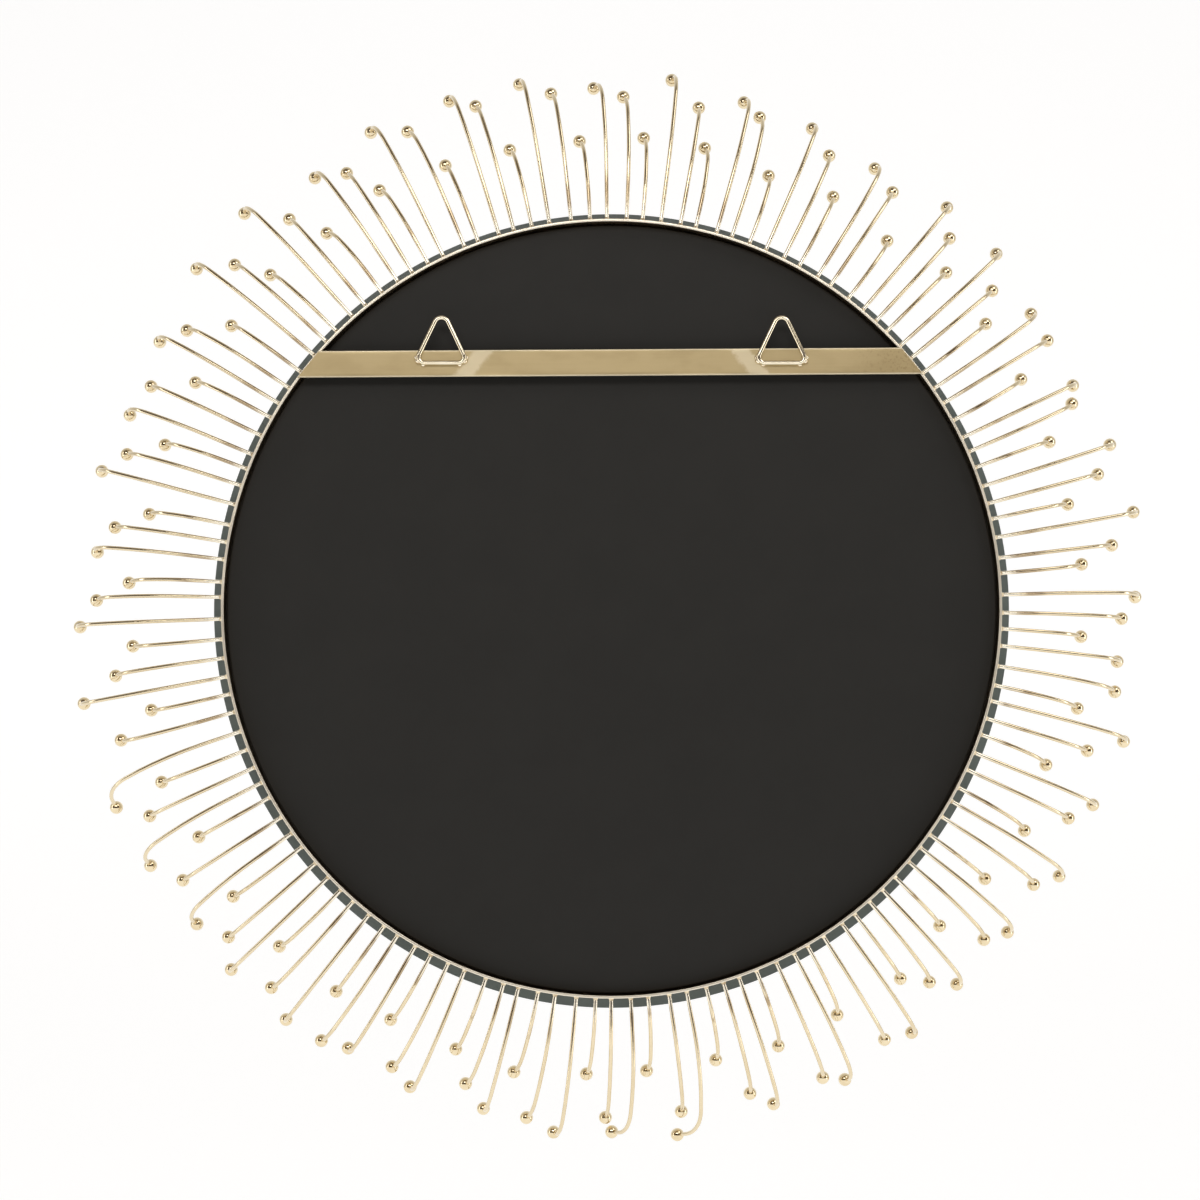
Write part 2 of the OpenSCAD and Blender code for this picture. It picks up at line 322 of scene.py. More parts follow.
@dataclass(frozen=True)
class GoldPlate:
    """Gold plating: a clear colour with duller and browner patches and fine scratches.

    The fades are pairs of places, in metres for the hoop and in millimetres
    along a wire, between which a tint comes in: painted highlight and shade on
    the hoop, painted highlight and dark reflection on a wire.
    """

    name: str
    clean: Colour
    aged: Colour
    roughness: float = 0.24
    cell: float = 60.0
    clouds: float = 0.75
    scratch: float = 0.00002
    ring: bool = False
    # Painted shade in the hoop's bore: its colour and the radii where it comes in.
    bore_shade: Colour = (0.42, 0.28, 0.15)
    bore_shade_fade: tuple[float, float] = (0.2894, 0.2886)
    # Painted highlight on the hoop's rear edge: its colour and the depths where it comes in.
    edge_highlight: Colour = (0.97, 0.9, 0.77)
    edge_highlight_fade: tuple[float, float] = (0.0332, 0.0337)
    # Colour of the painted dark reflection streaks on the wires; None leaves them out, with the foot
    # highlight.
    dark_reflection: Colour | None = None
    # Painted highlight at each wire's foot: its colour and the reaches along the wire where it comes in.
    foot_highlight: Colour = (0.97, 0.92, 0.8)
    foot_highlight_fade: tuple[float, float] = (26.0, 8.0)
    dark_reflection_ends: tuple[float, float] = (44.0, 30.0)
    dark_reflection_starts: tuple[float, float] = (10.0, 18.0)

    def build(self) -> bpy.types.Material:
        """Makes the material.

        Returns:
            Plating whose scratches run round the hoop, or lie at random. On the
            hoop the rear edge carries a painted cream highlight and the bore painted brown shade.
            For the wires, each foot carries a painted pale highlight, and painted brown streaks
            of dark reflection follow it.
        """
        net = Net(self.name)
        x, y, z = net.axes()
        clouds = net.noise(net.place(), self.cell, 4.0).step(0.38, 0.68)
        if self.ring:
            radius = (x * x + z * z) ** 0.5
            lines = net.noise(net.vector(x * 14.0, (radius + y) * 2600.0, z * 14.0), 1.0, 2.0)
        else:
            lines = net.noise(net.place(), self.cell * 8.0, 2.0)
        colour = net.blend(clouds * self.clouds, self.clean, self.aged)
        rough = (clouds * 0.4 + lines * 0.3 + 0.75) * self.roughness
        if self.ring:
            # Mask of the painted highlight on the hoop's rear edge, which also roughens it a little.
            rim_highlight = y.step(*self.edge_highlight_fade)
            # Painted shade: the bore is darkened to brown in place of the dark board's reflection in the
            # hoop's inner wall.
            colour = net.blend(radius.step(*self.bore_shade_fade) * 0.6, colour, self.bore_shade)
            # Painted highlight: the rear edge is lightened to a pale cream.
            colour = net.blend(rim_highlight * 0.85, colour, self.edge_highlight)
            rough = rough + rim_highlight * 0.16
        if self.dark_reflection:
            reach = net.add("ShaderNodeAttribute", {"attribute_name": "reach"}, {}, "Fac")
            ragged = reach + net.noise(net.place(), 160.0, 2.0) * 9.0
            streaks = net.noise(net.vector(x * 20.0, y * 450.0, z * 20.0), 1.0, 1.0).step(0.5, 0.6)
            # Painted highlight: each wire is paled to near white towards its foot.
            colour = net.blend(ragged.step(*self.foot_highlight_fade) * 0.75, colour, self.foot_highlight)
            # Painted dark reflection: brown streaks in a band along each wire's first stretch.
            middle = ragged.step(*self.dark_reflection_ends) * ragged.step(*self.dark_reflection_starts)
            colour = net.blend(streaks * middle * 0.6, colour, self.dark_reflection)
        net.link("Base Color", colour)
        net.link("Roughness", rough)
        net.bump(lines, self.scratch, 0.35)
        net.fix(Metallic=1.0)
        return net.material


@dataclass(frozen=True)
class BrushedStrap:
    """Plated flat bar with lengthwise brushing, painted highlights along both edges, pale patches and a
    browner end.

    middle_z and slope, in degrees, are those of the strap. The fades are pairs of
    distances in metres between which a tint comes in.
    """

    name: str
    clean: Colour
    brown: Colour
    # Colour of the pale patches, and also of the painted highlight along both long edges.
    pale: Colour
    patch_x: float
    middle_z: float
    slope: float
    patch_slant: float = 0.8
    patch_fade: tuple[float, float] = (0.0125, 0.0075)
    # Distances from the strap's middle line between which the painted edge highlight comes in.
    edge_highlight_fade: tuple[float, float] = (0.0086, 0.0094)
    end_fade: tuple[float, float] = (-0.17, -0.215)

    def build(self) -> bpy.types.Material:
        """Makes the material.

        Returns:
            Brushing along the bar, a painted highlight along both long edges, a scoured
            patch with slanting sides at patch_x on either side, and speckled brown at the -X end.
        """
        net = Net(self.name)
        x, y, z = net.axes()
        rise = z - self.middle_z + x * math.tan(math.radians(self.slope))
        lines = net.noise(net.vector(x * 9.0, y * 1500.0, z * 1500.0), 1.0, 3.0)
        clouds = net.noise(net.vector(x * 26.0, y * 26.0, z * 60.0), 1.0, 4.0).step(0.42, 0.66)
        specks = net.noise(net.place(), 420.0, 3.0).step(0.52, 0.66)
        colour = net.blend(clouds * 0.16 + lines * 0.14, self.clean, self.brown)
        colour = net.blend(x.step(*self.end_fade) * (0.25 + specks * 0.45), colour, self.brown)
        ragged = net.noise(net.place(), 260.0, 3.0) * 0.006
        away = (x.size() - self.patch_x + rise * self.patch_slant).size() + ragged
        colour = net.blend(away.step(*self.patch_fade) * 0.5, colour, self.pale)
        # Painted highlight: both long edges are lightened with the pale colour.
        colour = net.blend(rise.size().step(*self.edge_highlight_fade) * 0.8, colour, self.pale)
        net.link("Base Color", colour)
        net.link("Roughness", 0.34 + lines * 0.16 + clouds * 0.04)
        net.bump(lines, 0.00004, 0.5)
        net.fix(Metallic=1.0)
        return net.material


@dataclass(frozen=True)
class DullFinish:
    """Paint, board, foam or sealant: a mottled colour with a fine grain and no metal.

    cell and grain are the mottle's and the grain's cells in a metre, and depth is
    how high the grain stands, in metres.
    """

    name: str
    main: Colour
    other: Colour
    roughness: float
    cell: float
    grain: float
    depth: float
    shine: float = 0.5

    def build(self) -> bpy.types.Material:
        """Makes the material from a coarse mottle and a fine grain."""
        net = Net(self.name)
        mottle = net.noise(net.place(), self.cell, 5.0, 0.6).step(0.3, 0.72)
        grain = net.noise(net.place(), self.grain, 3.0, 0.65)
        net.link("Base Color", net.blend(mottle * 0.7 + grain * 0.3, self.main, self.other))
        net.link("Roughness", self.roughness + (grain - 0.5) * 0.2)
        net.bump(grain, self.depth, 0.6)
        net.fix(Specular_IOR_Level=self.shine)
        return net.material


@dataclass(frozen=True)
class SilveredGlass:
    """The pane's front: silvering under polished glass, with a breath of haze."""

    name: str

    def build(self) -> bpy.types.Material:
        """Makes the material; its colour and its roughness vary by a hair."""
        net = Net(self.name)
        haze = net.noise(net.place(), 9.0, 4.0).step(0.4, 0.9)
        net.link("Base Color", net.blend(haze, (0.9, 0.925, 0.915), (0.86, 0.89, 0.885)))
        net.link("Roughness", 0.012 + haze * 0.02)
        net.fix(Metallic=1.0, Coat_Weight=0.4, Coat_Roughness=0.01)
        return net.material


class Finish(Enum):
    """The finishes of the mirror's pieces."""

    # The hoop's plating has a painted highlight on its rear edge and painted shade in its bore.
    HOOP = GoldPlate("hoop_plating", (0.8, 0.69, 0.5), (0.66, 0.52, 0.33), 0.22, 40.0, ring=True)
    # The wire plating paints a pale highlight at each foot and brown streaks of dark reflection further out.
    WIRE = GoldPlate(
        "wire_plating",
        clean=(0.78, 0.67, 0.47),
        aged=(0.7, 0.58, 0.38),
        roughness=0.17,
        cell=30.0,
        clouds=0.5,
        scratch=0.000006,
        dark_reflection=(0.28, 0.18, 0.09),
    )
    BALL = GoldPlate("ball_plating", (0.82, 0.7, 0.48), (0.72, 0.58, 0.36), 0.06, 90.0, 0.6, 0.000004)
    EYE = GoldPlate("hanger_plating", (0.9, 0.82, 0.64), (0.8, 0.69, 0.47), 0.14, 60.0, 0.5, 0.000008)
    BEAD = GoldPlate("braze_metal", (0.94, 0.86, 0.68), (0.68, 0.52, 0.32), 0.22, 300.0)
    WELD = GoldPlate("weld_metal_finish", (0.84, 0.73, 0.53), (0.4, 0.28, 0.15), 0.34, 260.0)
    STRAP = BrushedStrap(
        "strap_plating",
        clean=(0.53, 0.42, 0.235),
        brown=(0.34, 0.25, 0.12),
        pale=(0.86, 0.77, 0.57),
        patch_x=0.103,
        middle_z=0.1815,
        slope=0.34,
    )
    MIRROR = SilveredGlass("mirror_front")
    PAINT = DullFinish(
        "pane_back_paint", (0.14, 0.175, 0.18), (0.11, 0.135, 0.135), 0.4, 14.0, 2500.0, 0.00002
    )
    EDGE = DullFinish("ground_glass_edge", (0.42, 0.5, 0.46), (0.36, 0.45, 0.42), 0.35, 90.0, 4000.0, 0.00002)
    BOARD = DullFinish(
        "board_lacquer", (0.0125, 0.0115, 0.0095), (0.01, 0.0092, 0.0075), 0.6, 24.0, 3200.0, 0.00003, 0.35
    )
    FOAM = DullFinish("foam_tape_face", (0.62, 0.62, 0.58), (0.5, 0.5, 0.47), 0.9, 200.0, 3000.0, 0.0001)
    SEAL = DullFinish("sealant_skin", (0.03, 0.026, 0.022), (0.05, 0.045, 0.04), 0.6, 150.0, 2000.0, 0.0001)

    @property
    def material(self) -> bpy.types.Material:
        """The finish's material, built once."""
        return bpy.data.materials.get(self.value.name) or self.value.build()


def dress(piece: bpy.types.Object, slot: str, *finishes: Finish) -> None:
    """Gives a piece its finishes."""
    piece.data.materials.clear()
    for finish in finishes:
        piece.data.materials.append(finish.material)


# ---------------------------------------------------------------- sub-assemblies


@dataclass
class Sizes:
    """Sizes in millimetres that more than one sub-assembly uses; y runs from front to back."""

    hoop_r: float = 290.5
    bore_r: float = 288.5
    pane_r: float = 300.0
    pane_back_y: float = 4.0
    hoop_back_y: float = 34.0
    panel_r: float = 287.3
    panel_front_y: float = 6.0
    panel_back_y: float = 24.0
    strap_z: float = 181.5
    strap_back_y: float = 36.0


@dataclass
class Body:
    """The hoop, the pane and the board, all turned about the hoop's axis.

    A rim is a flat ring outside the middle fan of a disc's face, so that the fan's
    long faces stay away from the edge.
    """

    sizes: Sizes
    segments: int = 480
    hoop_round: float = 0.45
    arris: float = 0.8
    back_arris: float = 0.25
    pane_rim: float = 14.0
    panel_round: float = 1.0
    panel_arris: float = 0.2
    panel_rim: float = 12.0

    def build_hoop(self) -> bpy.types.Object:
        """Flat bar rolled on edge: a rounded rectangle carried round the axis."""
        s, r = self.sizes, self.hoop_round
        low, high = s.pane_back_y, s.hoop_back_y
        corners = [
            ((s.hoop_r - r, high - r), 0),
            ((s.bore_r + r, high - r), 90),
            ((s.bore_r + r, low + r), 180),
            ((s.hoop_r - r, low + r), 270),
        ]
        profile = np.concatenate([arc(c, r, a, a + 90, 5) for c, a in corners])
        return make_piece("hoop_bar", [lathe_skin(profile, self.segments, True)], 60.0)

    def build_pane(self) -> bpy.types.Object:
        """Round pane with a flat arris at the front and a small one at the back."""
        s, a, b = self.sizes, self.arris, self.back_arris
        r, back, hair = s.pane_r, s.pane_back_y, 0.01
        profile = np.array(
            [
                (0.0, 0.0),
                (r - a - hair, 0.0),
                (r - a, 0.0),
                (r, a),
                (r, back - b),
                (r - b, back),
                (r - self.pane_rim, back),
                (0.0, back),
            ]
        )
        return make_piece("mirror_pane", [lathe_skin(profile, self.segments, False)], 20.0)

    def part_finishes(self, pane: bpy.types.Object) -> np.ndarray:
        """Gives each face of the pane its finish: 0 at the front, 1 at the back, 2 between.

        Args:
            pane: The pane, with its three finishes.

        Returns:
            How many faces have each finish.
        """
        middles = np.zeros(len(pane.data.polygons) * 3)
        pane.data.polygons.foreach_get("center", middles)
        depth = middles.reshape(-1, 3)[:, 1] / MM
        side = np.where(depth > self.sizes.pane_back_y - 0.8 * self.back_arris, 1, 2)
        side[depth < self.arris / 100] = 0
        pane.data.polygons.foreach_set("material_index", side.astype(np.int32))
        return np.bincount(side)

    def build_panel(self) -> bpy.types.Object:
        """Round board whose rear edge is eased to a radius."""
        s, r, a = self.sizes, self.panel_round, self.panel_arris
        edge = arc((s.panel_r - r, s.panel_back_y - r), r, 0, 90, 7)
        front, back = s.panel_front_y, s.panel_back_y
        profile = np.concatenate(
            [
                [(0.0, front), (s.panel_r - a, front), (s.panel_r, front + a)],
                edge,
                [(s.panel_r - self.panel_rim, back), (0.0, back)],
            ]
        )
        return make_piece("board_disc", [lathe_skin(profile, self.segments, False)], 35.0)

    def dress(self, nodes: dict[str, bpy.types.Object]) -> None:
        """Builds the three pieces and finishes them and the two hidden layers.

        Args:
            nodes: The frame's nodes, by name.
        """
        hoop, pane, panel = self.build_hoop(), self.build_pane(), self.build_panel()
        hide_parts("hoop")
        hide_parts("mirror_glass")
        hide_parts("backing_panel")
        dress(hoop, "plated_bar", Finish.HOOP)
        dress(pane, "mirror_glass", Finish.MIRROR, Finish.PAINT, Finish.EDGE)
        dress(panel, "dark_board", Finish.BOARD)
        dress(nodes["mounting_tape"], "foam_tape", Finish.FOAM)
        dress(nodes["edge_sealant"], "sealant", Finish.SEAL)
        LOG.info("hoop, pane and board: pane faces by finish %s", self.part_finishes(pane))


@dataclass
class Strap:
    """Flat bar across the hoop's rear edge, cut square to the hoop at its ends.

    The bar is dented by up to dent, in waves whose two rates are in radians a
    millimetre. A weld stops weld_inset short of the bar's edges, and its ripples
    stand ripple of its leg high.
    """

    sizes: Sizes
    width: float = 20.0
    thick: float = 2.0
    edge_round: float = 0.7
    end_bevel: float = 0.22
    slope: float = 0.34
    cut_r: float = 289.5
    dent: float = 0.05
    dent_rates: tuple[float, float] = (0.043, 0.017)
    weld: float = 3.0
    weld_inset: float = 2.0
    ripple: float = 0.16
    ripple_turn: float = 30.0
    stations: int = 60
    weld_stations: int = 46

    def end_angle(self, side: int) -> float:
        """Direction from the axis to one end of the strap, in radians from the horizontal."""
        half = self.cut_r * math.cos(math.asin(self.sizes.strap_z / self.cut_r))
        z = self.sizes.strap_z - side * half * math.sin(math.radians(self.slope))
        return math.asin(z / self.cut_r)

    def end_reach(self, side: int, z: np.ndarray) -> np.ndarray:
        """Distance along the strap, from its middle, to the cut at one end.

        The cut is the plane at right angles to the hoop's radius at that end, at
        cut_r from the axis, so a point (x, z) of the turned strap lies on it
        where x cos a + z sin a = cut_r.

        Args:
            side: 1 for the +X end, -1 for the other.
            z: Heights on the strap's own section.

        Returns:
            The reach for each height, always positive.
        """
        a, turn = self.end_angle(side), side * math.radians(self.slope)
        rest = self.cut_r - self.sizes.strap_z * math.sin(a) - z * math.sin(a + turn)
        return rest / math.cos(a + turn)

    def build_bar(self) -> bpy.types.Object:
        """A rounded section carried along the bar, with a hair of waviness from handling."""
        s, r, half = self.sizes, self.edge_round, self.width / 2
        front = s.hoop_back_y
        back_y = front + self.thick
        crown = np.stack([np.linspace(half - r, -half + r, 9), np.full(9, back_y)], axis=-1)
        section = np.concatenate(
            [
                [(half, front)],
                arc((half - r, back_y - r), r, 0, 90, 6),
                crown[1:-1],
                arc((-half + r, back_y - r), r, 90, 180, 6),
                [(-half, front)],
            ]
        )
        z, y = section[:, 0], section[:, 1]
        share = np.linspace(0, 1, self.stations)[:, None]
        x = -self.end_reach(-1, z) * (1 - share) + self.end_reach(1, z) * share
        fast, slow = self.dent_rates
        crest = y > back_y - self.dent / 5
        dent = self.dent * np.sin(x * fast + 1.0) * np.sin(x * slow) * crest
        turn = math.radians(self.slope)
        rings = np.stack(
            [
                x * math.cos(turn) + z * math.sin(turn),
                y - np.abs(dent),
                s.strap_z - x * math.sin(turn) + z * math.cos(turn),
            ],
            axis=-1,
        )
        bar = make_piece("strap_bar", [tube_skin(rings)], 38.0)
        bevel = bar.modifiers.new("eased_ends", "BEVEL")
        bevel.width, bevel.segments = self.end_bevel * MM, 2
        bevel.limit_method, bevel.angle_limit = "ANGLE", math.radians(55)
        return bar

    def build_welds(self) -> bpy.types.Object:
        """Rippled fillets in the corner between the bore and the strap, one at each end.

        The section is a triangle, hollow on its long side, that swells and sinks by
        a row of ripples and tapers to both ends, carried along the bore on an arc.
        """
        s, skins = self.sizes, []
        half = self.width / 2 - self.weld_inset
        low = math.asin((s.strap_z - half) / s.bore_r)
        high = math.asin((s.strap_z + half) / s.bore_r)
        along = np.linspace(0, 1, self.weld_stations)
        ripples = 0.8 + self.ripple * np.abs(np.sin(along * self.ripple_turn))
        taper = np.sin(np.pi * (0.06 + 0.88 * along)) ** 0.4
        leg = self.weld * ripples * taper
        for side in (-1, 1):
            shift = self.end_angle(side) - (low + high) / 2
            t = np.linspace(low, high, self.weld_stations) + shift
            none, bulge = 0 * leg, leg * 0.46
            r = s.bore_r - np.stack([none, none, bulge, leg], axis=-1)
            y = s.hoop_back_y - np.stack([none, leg, bulge, none], axis=-1)
            rings = np.stack([side * r * np.cos(t)[:, None], y, r * np.sin(t)[:, None]], axis=-1)
            skins.append(tube_skin(rings))
        return make_piece("strap_fillets", skins, 70.0)

    def dress(self) -> None:
        """Builds and finishes the bar and its welds."""
        bar, welds = self.build_bar(), self.build_welds()
        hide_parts("hanging_strap")
        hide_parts("strap_welds")
        dress(bar, "plated_bar", Finish.STRAP)
        dress(welds, "weld_metal", Finish.WELD)
        LOG.info("strap: ends at %.2f and %.2f degrees", *(math.degrees(self.end_angle(k)) for k in (-1, 1)))


class Side(Enum):
    """Which of the two hanging eyes, by the sign of its X."""

    LEFT = 1
    RIGHT = -1


@dataclass
class Hanger:
    """A rounded triangle of round wire that lies on the strap and is brazed to it.

    drops are the melted drops at each lower corner: how far out from the corner,
    how far up, and the radius. They sink by sunk into the strap's own face.
    """

    sizes: Sizes
    side: Side
    spacing: float = 254.0
    wire: float = 3.5
    width: float = 34.0
    height: float = 34.0
    top_r: float = 5.5
    foot_r: float = 4.5
    drop: float = 0.6
    arc_steps: int = 15
    around: int = 20
    sunk: float = 0.6
    lump: float = 0.05
    drop_grid: tuple[int, int] = (13, 18)
    voxel: float = 0.28
    seed: int = 31
    drops: tuple[tuple[float, float, float], ...] = (
        (0.4, 1.6, 2.5),
        (-3.4, -1.2, 1.9),
        (2.0, 4.2, 1.5),
        (-0.6, 5.0, 1.7),
    )

    @property
    def foot(self) -> np.ndarray:
        """The middle of the foot wire's centreline."""
        s = self.sizes
        x = self.side.value * self.spacing / 2
        return np.array([x, s.strap_back_y + self.wire / 2, s.strap_z - self.drop])

    def side_angle(self) -> float:
        """Direction of the side's outward normal, so that it touches both of its bends."""
        foot = np.array([self.width / 2 - self.foot_r, self.foot_r])
        d = np.array([0.0, self.height - self.top_r]) - foot
        return math.atan2(d[1], d[0]) - math.acos((self.foot_r - self.top_r) / np.hypot(*d))

    def build_loop(self) -> bpy.types.Object:
        """A tube along a loop of three arcs, whose straight sides join arc to arc.

        Each station is an arc's centre plus its radius along the normal, and the
        tube's ring turns in the plane of that normal and the Y axis.
        """
        a = math.degrees(self.side_angle())
        x, r1, r2 = self.width / 2 - self.foot_r, self.foot_r, self.top_r
        arcs = [
            ((x, r1), r1, -90, a),
            ((0.0, self.height - r2), r2, a, 180 - a),
            ((-x, r1), r1, 180 - a, 270),
        ]
        count = self.arc_steps
        normals = np.radians(np.concatenate([np.linspace(p, q, count) for _, _, p, q in arcs]))
        centres = np.repeat([c for c, _, _, _ in arcs], count, axis=0)
        radii = np.repeat([r for _, r, _, _ in arcs], count)
        line = centres + radii[:, None] * np.stack([np.cos(normals), np.sin(normals)], axis=-1)
        turn = np.arange(self.around) * TURN / self.around
        out = self.wire / 2 * np.cos(turn)
        rings = np.stack(
            [
                line[:, :1] + out * np.cos(normals)[:, None],
                np.repeat(self.wire / 2 * np.sin(turn)[None], len(line), axis=0),
                line[:, 1:] + out * np.sin(normals)[:, None],
            ],
            axis=-1,
        )
        name = f"hanger_{self.side.name.lower()}_eye"
        return make_piece(name, [tube_skin(rings + self.foot, closed=True)], 60.0)

    def build_beads(self) -> bpy.types.Object:
        """Two braze beads, each a cluster of drops that are melted into one skin."""
        rng = np.random.default_rng(self.seed + self.side.value)
        skins = []
        rows, columns = self.drop_grid
        lat = np.linspace(0.12, np.pi - 0.12, rows)[:, None]
        lon = np.arange(columns)[None] * TURN / columns
        floor = self.sizes.strap_back_y + 0.01
        for corner in (-1, 1):
            for out, up, radius in self.drops:
                x = corner * self.side.value * (self.width / 2 + out)
                middle = self.foot + np.array([x, self.sunk - self.wire / 2, up])
                swell = radius * (1 - self.lump * rng.random((rows, columns)))
                rings = np.stack(
                    [
                        swell * np.sin(lat) * np.cos(lon),
                        swell * np.cos(lat) + 0 * lon,
                        swell * np.sin(lat) * np.sin(lon),
                    ],
                    axis=-1,
                )
                rings += middle
                rings[..., 1] = np.maximum(rings[..., 1], floor)
                skins.append(tube_skin(rings))
        beads = make_piece(f"braze_beads_{self.side.name.lower()}", skins, 80.0)
        melt = beads.modifiers.new("melt", "REMESH")
        melt.mode, melt.voxel_size, melt.use_smooth_shade = "VOXEL", self.voxel * MM, True
        soften = beads.modifiers.new("soften", "SMOOTH")
        soften.factor, soften.iterations = 0.5, 4
        return beads

    def dress(self) -> None:
        """Builds and finishes the loop and its beads."""
        loop, beads = self.build_loop(), self.build_beads()
        name = self.side.name.lower()
        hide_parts(f"hanger_{name}")
        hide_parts(f"hanger_beads_{name}")
        dress(loop, "plated_wire", Finish.EYE)
        dress(beads, "weld_metal", Finish.BEAD)
        LOG.info("hanger %s at x %.1f mm", name, self.foot[0])


class Class(Enum):
    """The three classes of wire, in the order in which they repeat round the hoop."""

    MEDIUM = 0
    LONG = 1
    SHORT = 2


@dataclass
class Halo:
    """132 wires on the hoop's wall, each bent by hand and tipped with a ball.

    straights, plays, necks and bends have one entry for each class: the first
    straight, its share of length_play, the last straight, and two arcs as radius
    and angle in degrees. strays are extra turns in degrees of long wires that
    stand askew. lead is how far a wire starts inside the hoop's wall, and sunk is
    how far its end goes into its ball.
    """

    sizes: Sizes
    sectors: int = 11
    wires_each: int = 44
    wire: float = 3.0
    inset: float = 4.0
    straights: tuple[float, ...] = (26.0, 37.0, 11.0)
    plays: tuple[float, ...] = (0.75, 1.0, 0.6)
    necks: tuple[float, ...] = (0.8, 5.0, 0.8)
    bends: tuple[tuple[tuple[float, float], ...], ...] = (
        ((130.0, 24.0), (24.0, 46.0)),
        ((180.0, 18.0), (22.0, 70.0)),
        ((95.0, 24.0), (24.0, 44.0)),
    )
    strays: dict[int, float] = field(
        default_factory=lambda: {24: 30.0, 25: 34.0, 26: 26.0, 33: -20.0, 34: -24.0, 12: -6.0}
    )
    length_play: float = 6.0
    angle_play: float = 0.4
    bend_turn: float = 11.0
    turn_play: float = 6.0
    first_angle: float = -0.9
    crowding: float = 1.15
    reach_up: float = 5.0
    reach_side: float = 3.0
    least_straight: float = 1.5
    bend_play: float = 0.12
    lead: float = 1.2
    sunk: float = 1.2
    ball: float = 10.0
    ball_grid: tuple[int, int] = (13, 18)
    collar_h: float = 1.8
    collar_lump: float = 0.3
    collar_around: int = 14
    collar_seed: int = 7
    around: int = 12

    def vary(self, i: np.ndarray, k: int) -> np.ndarray:
        """A repeatable number from -1 to 1: the fraction of a large sine of the wire's number."""
        s = np.sin(np.radians(i * 127.1 + k * 311.7)) * 437.585
        return 2 * (s - np.floor(s)) - 1

    def numbers(self, sector: int, kind: Class) -> np.ndarray:
        """The numbers of one sector's wires of one class."""
        each = self.wires_each // self.sectors
        return len(Class) * (sector * each + np.arange(each)) + kind.value

    def angle(self, i: np.ndarray) -> np.ndarray:
        """Direction round the hoop in degrees, evenly spaced but crowded towards the sides."""
        even = self.first_angle + i * 360 / (self.wires_each * len(Class))
        return even - self.crowding * np.sin(np.radians(even)) + self.angle_play * self.vary(i, 1)

    def straight(self, i: np.ndarray) -> np.ndarray:
        """Length of the first straight: longer above than below, and longer to the +X side."""
        kind, a = i % len(Class), np.radians(self.angle(i))
        reach = self.reach_up * np.sin(a) - self.reach_side * np.cos(a)
        play = self.length_play * np.array(self.plays)[kind] * self.vary(i, 2)
        return np.maximum(self.least_straight, np.array(self.straights)[kind] + reach + play)

    def turn(self, i: np.ndarray) -> np.ndarray:
        """How far each wire is turned about its foot, in degrees."""
        stray = [self.strays.get(int(n) // len(Class), 0.0) if n % len(Class) == 1 else 0.0 for n in i]
        return self.bend_turn * np.sin(np.radians(self.angle(i))) + self.turn_play * self.vary(i, 3) + stray

    def set_up(self, i: np.ndarray, local: np.ndarray) -> np.ndarray:
        """Carries points from each wire's own frame to its foot on the hoop.

        The frame is first turned about its own X by the wire's turn, moved out
        to the hoop's wall, and then turned about the Y axis to its direction.

        Args:
            i: Wire numbers.
            local: Points as [wire, ..., xyz], with X out from the hoop and the front at -Y.

        Returns:
            The points in the object's frame.
        """
        shape = (-1,) + (1,) * (local.ndim - 2)
        t = np.radians(self.turn(i)).reshape(shape)
        a = np.radians(self.angle(i) + 180).reshape(shape)
        x, y, z = (local[..., k] for k in range(3))
        y2, z2 = y * np.cos(t) - z * np.sin(t), y * np.sin(t) + z * np.cos(t)
        x2 = x + self.sizes.hoop_r
        y3 = y2 + self.sizes.hoop_back_y - self.inset
        return np.stack([x2 * np.cos(a) + z2 * np.sin(a), y3, z2 * np.cos(a) - x2 * np.sin(a)], axis=-1)

    def line(self, i: np.ndarray, kind: Class) -> tuple[np.ndarray, np.ndarray, np.ndarray]:
        """Centreline of each wire in its own frame: straight, two arcs, straight.

        Args:
            i: Wire numbers, all of one class.
            kind: That class.

        Returns:
            Points [wire, station, 2], headings [wire, station] in radians towards
            -Y, and distances along the wire [wire, station].
        """
        heading = np.zeros(len(i))
        parts = 3
        steps = [(self.straight(i) + self.lead) / parts] * parts
        headings = [heading] * parts
        for (radius, angle), parts in zip(self.bends[kind.value], (5, 9)):
            r = radius * (1 + self.bend_play * self.vary(i, 4))
            part = math.radians(angle) / parts
            for _ in range(parts):
                steps.append(2 * r * math.sin(part / 2))
                headings.append(heading + part / 2)
                heading = heading + part
        steps.append(np.full(len(i), self.necks[kind.value] + self.sunk))
        headings.append(heading)
        step, way = np.stack(steps, axis=1), np.stack(headings, axis=1)
        x = np.cumsum(step * np.cos(way), axis=1)
        y = np.cumsum(-step * np.sin(way), axis=1)
        start = np.zeros((len(i), 1))
        points = np.stack(
            [np.concatenate([start, x], 1) - self.lead, np.concatenate([start, y], 1)], axis=-1
        )
        facing = np.concatenate([way[:, :1], (way[:, 1:] + way[:, :-1]) / 2, way[:, -1:]], axis=1)
        reach = np.concatenate([start, np.cumsum(step, axis=1)], axis=1) - self.lead
        return points, facing, reach

    def build_wires(self, sector: int, kind: Class) -> bpy.types.Object:
        """Tubes round the centrelines: each ring lies across its heading."""
        i = self.numbers(sector, kind)
        points, facing, reach = self.line(i, kind)
        turn = np.arange(self.around) * TURN / self.around
        out = self.wire / 2 * np.cos(turn)
        aside = self.wire / 2 * np.sin(turn)
        local = np.stack(
            [
                points[..., :1] + out * np.sin(facing)[..., None],
                points[..., 1:] + out * np.cos(facing)[..., None],
                np.broadcast_to(aside, (*facing.shape, self.around)),
            ],
            axis=-1,
        )
        rings = self.set_up(i, local)
        skins = [tube_skin(r, m) for r, m in zip(rings, reach)]
        return make_piece(f"{kind.name.lower()}_rays_{sector + 1:02d}", skins, 80.0)

